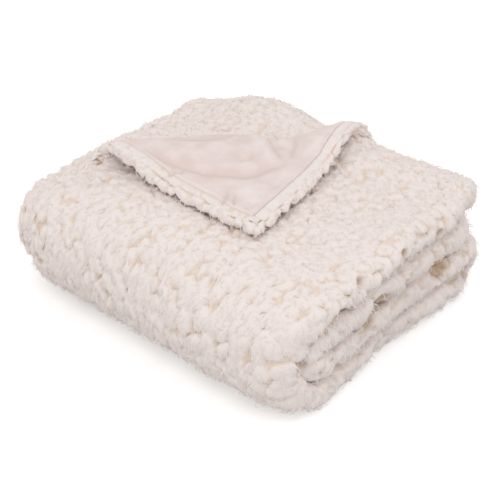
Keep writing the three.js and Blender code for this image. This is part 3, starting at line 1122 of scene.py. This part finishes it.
@dataclass
class Pile:
    """The high pile: its soft body, and the wisps of fibre that stand out of it."""

    wisp_spacing: float = 5.6 * MM
    wisp_length: float = 6.2 * MM
    wisp_width: float = 1.8
    wisp_height: float = 0.75
    hang: float = 0.2
    length_spread: float = 0.3
    way_spread: float = 0.9
    tilt: float = 0.35
    tilts: Pair = (-1.0, 0.6)
    lying_tilt: float = 0.3
    shortest: float = 0.4
    candidates: float = 250000.0
    sharp_edge: float = 1.3
    way_seed: int = 11
    tilt_seed: int = 12
    length_seed: int = 13
    form: WispForm = WispForm()
    floor_clearance: float = 0.2 * MM

    def sizes(self) -> dict[str, float]:
        """Returns the tree's named sizes."""
        return {
            "Wisp Spacing": self.wisp_spacing, "Wisp Length": self.wisp_length, "Wisp Width": self.wisp_width,
            "Wisp Height": self.wisp_height, "Hang": self.hang, "Length Spread": self.length_spread,
            "Way Spread": self.way_spread, "Tilt": self.tilt,
        }

    def tree(self) -> Tree:
        """Builds the node tree that takes one region of the body and grows the wisps on it."""
        inputs = {"Body": "Geometry", **dict.fromkeys(self.sizes(), "Float"), "Region": "Int", "Seed": "Int",
                  "Fibre": "Material"}
        tree = new_tree("pile", "GeometryNodeTree", inputs, {"Pile": "Geometry"})
        make = NodeMaker(tree)
        given = make.add("NodeGroupInput").outputs
        here = make.add("FunctionNodeCompare", {"A": make.attribute("region", "INT"), "B": given["Region"]},
                        data_type="INT", operation="EQUAL")
        body = make.add("GeometryNodeSeparateGeometry", {"Geometry": given["Body"], "Selection": here},
                        domain="FACE")
        both = make.add("GeometryNodeJoinGeometry")
        for part in (self._wisps(make, given, here), body):
            tree.links.new(part.outputs[0], both.inputs[0])
        smoothed = make.add("GeometryNodeSetShadeSmooth", {"Geometry": both})
        angle = make.add("GeometryNodeInputMeshEdgeAngle").outputs["Unsigned Angle"]
        rounded = make.add("GeometryNodeSetShadeSmooth", {
            "Geometry": smoothed, "Selection": make.math("GREATER_THAN", angle, self.sharp_edge),
            "Shade Smooth": False,
        }, domain="EDGE")
        dressed = make.add("GeometryNodeSetMaterial", {"Geometry": rounded, "Material": given["Fibre"]})
        make.add("NodeGroupOutput", {"Pile": dressed})
        return tree

    def _turned(self, make: NodeMaker, given: object) -> Node:
        """Adds the way that each wisp faces: upright on the body, then round to its combing, then tilted."""
        chance = make.spread((-1, -1, -1), (1, 1, 1), self.way_seed, "FLOAT_VECTOR")
        comb = make.attribute("comb", "FLOAT_VECTOR")
        way = make.add("ShaderNodeVectorMath", {0: chance, 1: given["Way Spread"], 2: comb},
                       operation="MULTIPLY_ADD")
        outward = make.attribute("outward", "FLOAT_VECTOR")
        upright = make.add("FunctionNodeAlignRotationToVector", {"Vector": outward}, axis="Z")
        facing = make.add("FunctionNodeAlignRotationToVector", {"Rotation": upright, "Vector": way},
                          axis="X", pivot_axis="Z")
        freer = make.up_from(self.lying_tilt, make.attribute("hanging"))
        tilt = make.product(make.spread(*self.tilts, self.tilt_seed), given["Tilt"], freer)
        tilted = make.add("FunctionNodeEulerToRotation", {
            "Euler": make.add("ShaderNodeCombineXYZ", {"Y": tilt}),
        })
        return make.add("FunctionNodeRotateRotation", {"Rotation": facing, "Rotate By": tilted},
                        rotation_space="LOCAL")

    def _scale(self, make: NodeMaker, given: object) -> Node:
        """Adds the size of each wisp: uneven, shorter in the shade and longer where it hangs."""
        uneven = make.around_one(make.spread(-1.0, 1.0, self.length_seed), given["Length Spread"])
        light = make.up_from(self.shortest, make.attribute("growth"))
        size = make.product(given["Wisp Length"], uneven, light)
        longer = make.around_one(make.attribute("hanging"), given["Hang"])
        return make.add("ShaderNodeCombineXYZ", {
            axis: make.product(size, by)
            for axis, by in (("X", longer), ("Y", given["Wisp Width"]), ("Z", given["Wisp Height"]))
        })

    def _wisps(self, make: NodeMaker, given: object, here: Node) -> Node:
        """Adds the wisps of one region, each standing on the body and lying the way that it is combed."""
        points = make.add("GeometryNodeDistributePointsOnFaces", {
            "Mesh": given["Body"], "Distance Min": given["Wisp Spacing"], "Density Max": self.candidates,
            "Density Factor": make.attribute("growth"), "Seed": given["Seed"],
        }, distribute_method="POISSON").outputs
        outward = make.keep(points["Points"], "outward", points["Normal"], "FLOAT_VECTOR")
        elsewhere = make.add("FunctionNodeBooleanMath", {0: here}, operation="NOT")
        ours = make.add("GeometryNodeDeleteGeometry", {"Geometry": outward, "Selection": elsewhere},
                        domain="POINT")
        planted = make.add("GeometryNodeInstanceOnPoints", {
            "Points": ours, "Instance": self.form.grow(make), "Rotation": self._turned(make, given),
            "Scale": self._scale(make, given),
        })
        realized = make.add("GeometryNodeRealizeInstances", {"Geometry": planted})
        place = make.add("ShaderNodeSeparateXYZ", {0: make.add("GeometryNodeInputPosition")}).outputs
        above = make.math("MAXIMUM", place["Z"], self.floor_clearance)
        lifted = make.add("ShaderNodeCombineXYZ", {"X": place["X"], "Y": place["Y"], "Z": above})
        return make.add("GeometryNodeSetPosition", {"Geometry": realized, "Position": lifted})

    def grow(self, body: Piece, region: Region, tree: Tree,
             fibre: Material) -> Piece:
        """Grows the pile of one region as a plain mesh.

        Args:
            body: the body of the pile, with its attributes.
            region: the region to grow.
            tree: the node tree.
            fibre: the material of the pile.

        Returns:
            The piece.
        """
        values = {**self.sizes(), "Region": region.value, "Seed": SEED, "Fibre": fibre}
        carrier = placed("carrier", body.data)
        modifier = carrier.modifiers.new("pile", "NODES")
        modifier.node_group = tree
        for item in tree.interface.items_tree:
            if item.in_out == "INPUT" and item.name in values:
                modifier[item.identifier] = values[item.name]
        evaluated = carrier.evaluated_get(bpy.context.evaluated_depsgraph_get())
        mesh = bpy.data.meshes.new_from_object(evaluated)
        carrier.modifiers.remove(modifier)
        bpy.data.objects.remove(carrier)
        mesh.name = f"pile_{region.name.lower()}"
        mesh.calc_loop_triangles()
        LOG.info("%s: %d triangles", mesh.name, len(mesh.loop_triangles))
        return placed(mesh.name, mesh)


# ---- Finishes ----


def grey(level: float) -> Colour:
    """Returns an even grey."""
    return level, level, level, 1.0


def new_material(name: str) -> tuple[Material, NodeMaker]:
    """Makes an empty material and the maker of its nodes."""
    material = bpy.data.materials.new(name)
    material.use_nodes = True
    material.node_tree.nodes.clear()
    return material, NodeMaker(material.node_tree)


def mottle_group() -> Tree:
    """Builds the shader group that every cloth here uses: soft mottling of its tone and height.

    Returns:
        The group, with Vector, Size and Fineness in, Tone and Height out.
    """
    inputs = {"Vector": "Vector", "Size": "Float", "Fineness": "Float"}
    tree = new_tree("soft mottle", "ShaderNodeTree", inputs, {"Tone": "Float", "Height": "Float"})
    make = NodeMaker(tree)
    given = make.add("NodeGroupInput").outputs
    coarse, fine = (
        make.add("ShaderNodeTexNoise", {
            "Vector": given["Vector"], "Scale": make.math("DIVIDE", fineness, given["Size"]),
            "Detail": detail, "Roughness": roughness,
        })
        for fineness, detail, roughness in ((1.0, 2.0, 0.5), (given["Fineness"], 3.0, 0.6))
    )
    height = make.product(make.math("ADD", coarse, fine), 0.5)
    make.add("NodeGroupOutput", {"Tone": coarse, "Height": height})
    return tree


@dataclass(frozen=True)
class ClothFinish:
    """What every cloth here shares: its two tones, its nap and the size of its mottling."""

    name: str
    light: Colour
    dark: Colour
    roughness: float
    sheen: float
    sheen_roughness: float
    mottle_size: float
    fineness: float
    relief: float
    sheen_tint: Colour = (1.0, 0.98, 0.96, 1.0)
    specular: float = 0.15

    def colour(self, make: NodeMaker, mottling: Socket) -> Node:
        """Adds the cloth's colour, which each kind of cloth has in its own way."""
        raise NotImplementedError

    def toned(self, make: NodeMaker, share: object) -> Node:
        """Adds a mix of the two tones, lighter as the share goes from 0 to 1."""
        factor = make.add("ShaderNodeClamp", {"Value": share})
        return make.blend(factor, self.dark, self.light)

    def build(self, mottle: Tree) -> Material:
        """Makes the material.

        Args:
            mottle: the shader group of the mottling.

        Returns:
            The material, with its colour and relief joined to one surface shader.
        """
        material, make = new_material(self.name)
        patches = make.add("ShaderNodeGroup", {
            "Vector": make.add("ShaderNodeTexCoord").outputs["Object"], "Size": self.mottle_size,
            "Fineness": self.fineness,
        }, node_tree=mottle).outputs
        bump = make.add("ShaderNodeBump", {
            "Height": patches["Height"], "Distance": self.relief, "Strength": 1.0,
        })
        surface = make.add("ShaderNodeBsdfPrincipled", {
            "Base Color": self.colour(make, patches["Tone"]), "Normal": bump,
            "Roughness": self.roughness, "Specular IOR Level": self.specular, "Sheen Weight": self.sheen,
            "Sheen Roughness": self.sheen_roughness, "Sheen Tint": self.sheen_tint,
        })
        make.add("ShaderNodeOutputMaterial", {"Surface": surface})
        return material


@dataclass(frozen=True)
class PileFinish(ClothFinish):
    """Clumped fibre: warm at its roots and low in the crevices between clumps, partly painted warm shade
    there, pale at its tips, brown where it parts, and painted brown shade where little daylight reaches.
    """

    # brown of the parted roots, also used for painted shade in hollows and where daylight is low
    parted: Colour = (0.54, 0.35, 0.21, 1)
    # the rise over which the fibre goes from its warm roots and painted crevice shade to its pale tips
    root_and_shade_from: float = 0.1
    root_and_shade_to: float = 0.6
    strands: Triple = (9.0, 1.5, 60.0)
    by_clump: Pair = (0.12, 0.0)
    by_strand: Pair = (0.16, -0.16)
    by_patch: Pair = (0.12, -0.06)

    def colour(self, make: NodeMaker, mottling: Socket) -> Node:
        """Adds the fibre's colour: by its rise, with painted warm shade low between the clumps, then a little
        by its clump, its strand and its patch, then brown by the parted value, which holds painted shade too.
        """
        around, rise, tone, parted = (make.stored(name) for name in ("around", "rise", "tone", "parted"))
        strands = make.add("ShaderNodeCombineXYZ", {
            axis: make.product(value, count)
            for axis, value, count in zip("XYZ", (around, rise, tone), self.strands)
        })
        streaks = make.add("ShaderNodeTexNoise", {"Vector": strands, "Scale": 1.0, "Detail": 2.0})
        # warm tone low on each clump: the roots' own colour and painted shade in the crevices
        share = make.add("ShaderNodeMapRange", {
            "Value": rise, "From Min": self.root_and_shade_from, "From Max": self.root_and_shade_to,
        }, interpolation_type="SMOOTHSTEP")
        for value, by in ((tone, self.by_clump), (streaks, self.by_strand), (mottling, self.by_patch)):
            share = make.math("ADD", share, make.math("MULTIPLY_ADD", value, *by))
        # brown by the parted value: the partings and the painted shade where daylight is low
        return make.blend(parted, self.toned(make, share), self.parted)


@dataclass(frozen=True)
class PlushFinish(ClothFinish):
    """Short brushed plush: soft mottled nap with fine bristle relief, and painted shade that darkens it in
    its creases.
    """

    # painted shade: how much darker the nap is painted at the bottom of a crease
    painted_crease_shade: float = 0.8
    dark_below: float = 0.25
    light_above: float = 0.75

    def colour(self, make: NodeMaker, mottling: Socket) -> Node:
        """Adds the nap's colour: by its mottling, and darker the deeper it is sunk, as painted shade in the
        creases.
        """
        brushed = make.add("ShaderNodeMapRange", {
            "Value": mottling, "From Min": self.dark_below, "From Max": self.light_above,
        })
        # painted shade: the nap is darkened the deeper it is sunk in a crease
        return self.toned(make, make.math("MULTIPLY_ADD", make.stored("sunk"), -self.painted_crease_shade, brushed))


# the pile's dark tone is its warm roots and the painted shade between its clumps
FIBRE = PileFinish(
    "fluffy pile", light=(0.97, 0.885, 0.855, 1), dark=(0.925, 0.80, 0.70, 1), roughness=0.9, sheen=0.15,
    sheen_roughness=0.5, mottle_size=30 * MM, fineness=16.0, relief=2 * MM,
)
GROUND = PlushFinish(
    "ground cloth", light=(0.78, 0.60, 0.48, 1), dark=(0.68, 0.50, 0.38, 1), roughness=0.95, sheen=0.1,
    sheen_roughness=0.5, mottle_size=8 * MM, fineness=6.0, relief=0.8 * MM,
)
PLUSH = PlushFinish(
    "smooth plush", light=(0.93, 0.825, 0.805, 1), dark=(0.83, 0.70, 0.66, 1), roughness=0.8, sheen=0.15,
    sheen_roughness=0.35, mottle_size=20 * MM, fineness=16.0, relief=0.7 * MM,
)


@dataclass(frozen=True)
class FloorFinish:
    """The plain pale floor: it looks nearly white, and throws a little less light back on the sides."""

    seen: float = 0.9
    glow: float = 0.35
    thrown: float = 0.75
    roughness: float = 0.9
    specular: float = 0.1

    def build(self) -> Material:
        """Makes the material."""
        material, make = new_material("studio floor")
        seen = make.add("ShaderNodeBsdfPrincipled", {
            "Base Color": grey(self.seen), "Roughness": self.roughness, "Specular IOR Level": self.specular,
            "Emission Color": grey(1.0), "Emission Strength": self.glow,
        })
        thrown = make.add("ShaderNodeBsdfDiffuse", {"Color": grey(self.thrown)})
        looked_at = make.add("ShaderNodeLightPath").outputs["Is Camera Ray"]
        make.add("ShaderNodeOutputMaterial", {
            "Surface": make.add("ShaderNodeMixShader", {0: looked_at, 1: thrown, 2: seen}),
        })
        return material


# ---- The studio ----


def aimed(name: str, data: bpy.types.ID, at: Vector, target: Vector) -> Piece:
    """Places a camera or a light, turned to a target."""
    made = placed(name, data)
    made.location = at
    made.rotation_euler = (target - at).to_track_quat("-Z", "Y").to_euler()
    return made


@dataclass
class Studio:
    """The camera, the lights and the floor."""

    azimuth: float = 40.56
    elevation: float = 31.08
    distance: float = 1.15
    lens: float = 67.15
    sensor: float = 36.0
    watched: Triple = (0.0, 0.0, 0.075)
    aim_right: float = 7.7 * MM
    aim_up: float = -20.6 * MM
    floor_size: float = 30.0
    room_light: float = 0.755
    room_colour: Colour = (1.0, 0.99, 0.98, 1.0)
    key_power: float = 8.0
    key_size: float = 1.0
    key_at: Triple = (0.65, -0.95, 1.8)

    def camera(self) -> None:
        """Makes the camera and sets it as the scene's."""
        turn, rise = math.radians(self.azimuth), math.radians(self.elevation)
        back = Vector((math.sin(turn) * math.cos(rise), -math.cos(turn) * math.cos(rise), math.sin(rise)))
        right = Vector((math.cos(turn), math.sin(turn), 0.0))
        middle = Vector(self.watched)
        target = middle + right * self.aim_right + back.cross(right) * self.aim_up
        data = bpy.data.cameras.new("camera")
        data.lens, data.sensor_width = self.lens, self.sensor
        bpy.context.scene.camera = aimed("camera", data, middle + back * self.distance, target)

    def lights(self) -> None:
        """Lights the room evenly, with one soft square key light above and in front."""
        scene = bpy.context.scene
        scene.world = bpy.data.worlds.new("room")
        scene.world.use_nodes = True
        room = scene.world.node_tree.nodes["Background"].inputs
        room["Color"].default_value = self.room_colour
        room["Strength"].default_value = self.room_light
        key = bpy.data.lights.new("key", "AREA")
        key.size, key.energy = self.key_size, self.key_power
        aimed("key", key, Vector(self.key_at), Vector(self.watched))
        scene.view_settings.view_transform = "Standard"

    def floor(self) -> None:
        """Lays the plain pale floor that the bundle lies on."""
        corners = [[x, y, 0] for x, y in ((-1, -1), (1, -1), (1, 1), (-1, 1))]
        floor = new_mesh_object("floor", self.floor_size / 2 * np.array(corners), np.array([[0, 1, 2, 3]]))
        floor.data.materials.append(FloorFinish().build())


# ---- The blanket ----


@dataclass
class Blanket:
    """The whole throw: two panels sewn together, folded, with the pile on the fluffy one."""

    bundle: Bundle = field(default_factory=Bundle)
    rays: int = 24
    quick_rays: int = 8
    ray_length: float = 90 * MM

    def build(self) -> None:
        """Makes the panels and their pile, and rides the pieces on the blanket's body in place of its parts.
        """
        face, backing = FluffyFace(self.bundle), SmoothBacking(self.bundle)
        (face_piece, face_grid), (backing_piece, backing_grid) = face.build(), backing.build()
        rays = self.rays
        body = PileBody(face).build(Daylight([face_grid, backing_grid], rays, self.ray_length), face_grid)
        mottle = mottle_group()
        face_piece.data.materials.append(GROUND.build(mottle))
        backing_piece.data.materials.append(PLUSH.build(mottle))
        fibre = FIBRE.build(mottle)
        pile = Pile()
        tree = pile.tree()
        tufts = [pile.grow(body, region, tree, fibre) for region in Region]
        bpy.data.objects.remove(body)
        face.flat_size()
        backing.flat_size()
        self.attach("fluffy_face", "fluffy_pile", [face_piece, *tufts])
        self.attach("smooth_backing", "smooth_plush", [backing_piece])

    @staticmethod
    def attach(node: str, slot: str, pieces: list[Piece]) -> None:
        """Rides pieces on the blanket's one body, each in the place of one part of it."""
        for piece in pieces:
            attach(piece, "root")
            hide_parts(node)


def main() -> None:
    """Builds the studio and the blanket."""
    logging.basicConfig(level=logging.INFO, format="%(name)s: %(message)s")
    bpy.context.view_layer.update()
    studio = Studio()
    studio.camera()
    studio.lights()
    studio.floor()
    Blanket().build()


if __name__ == "__main__":
    main()
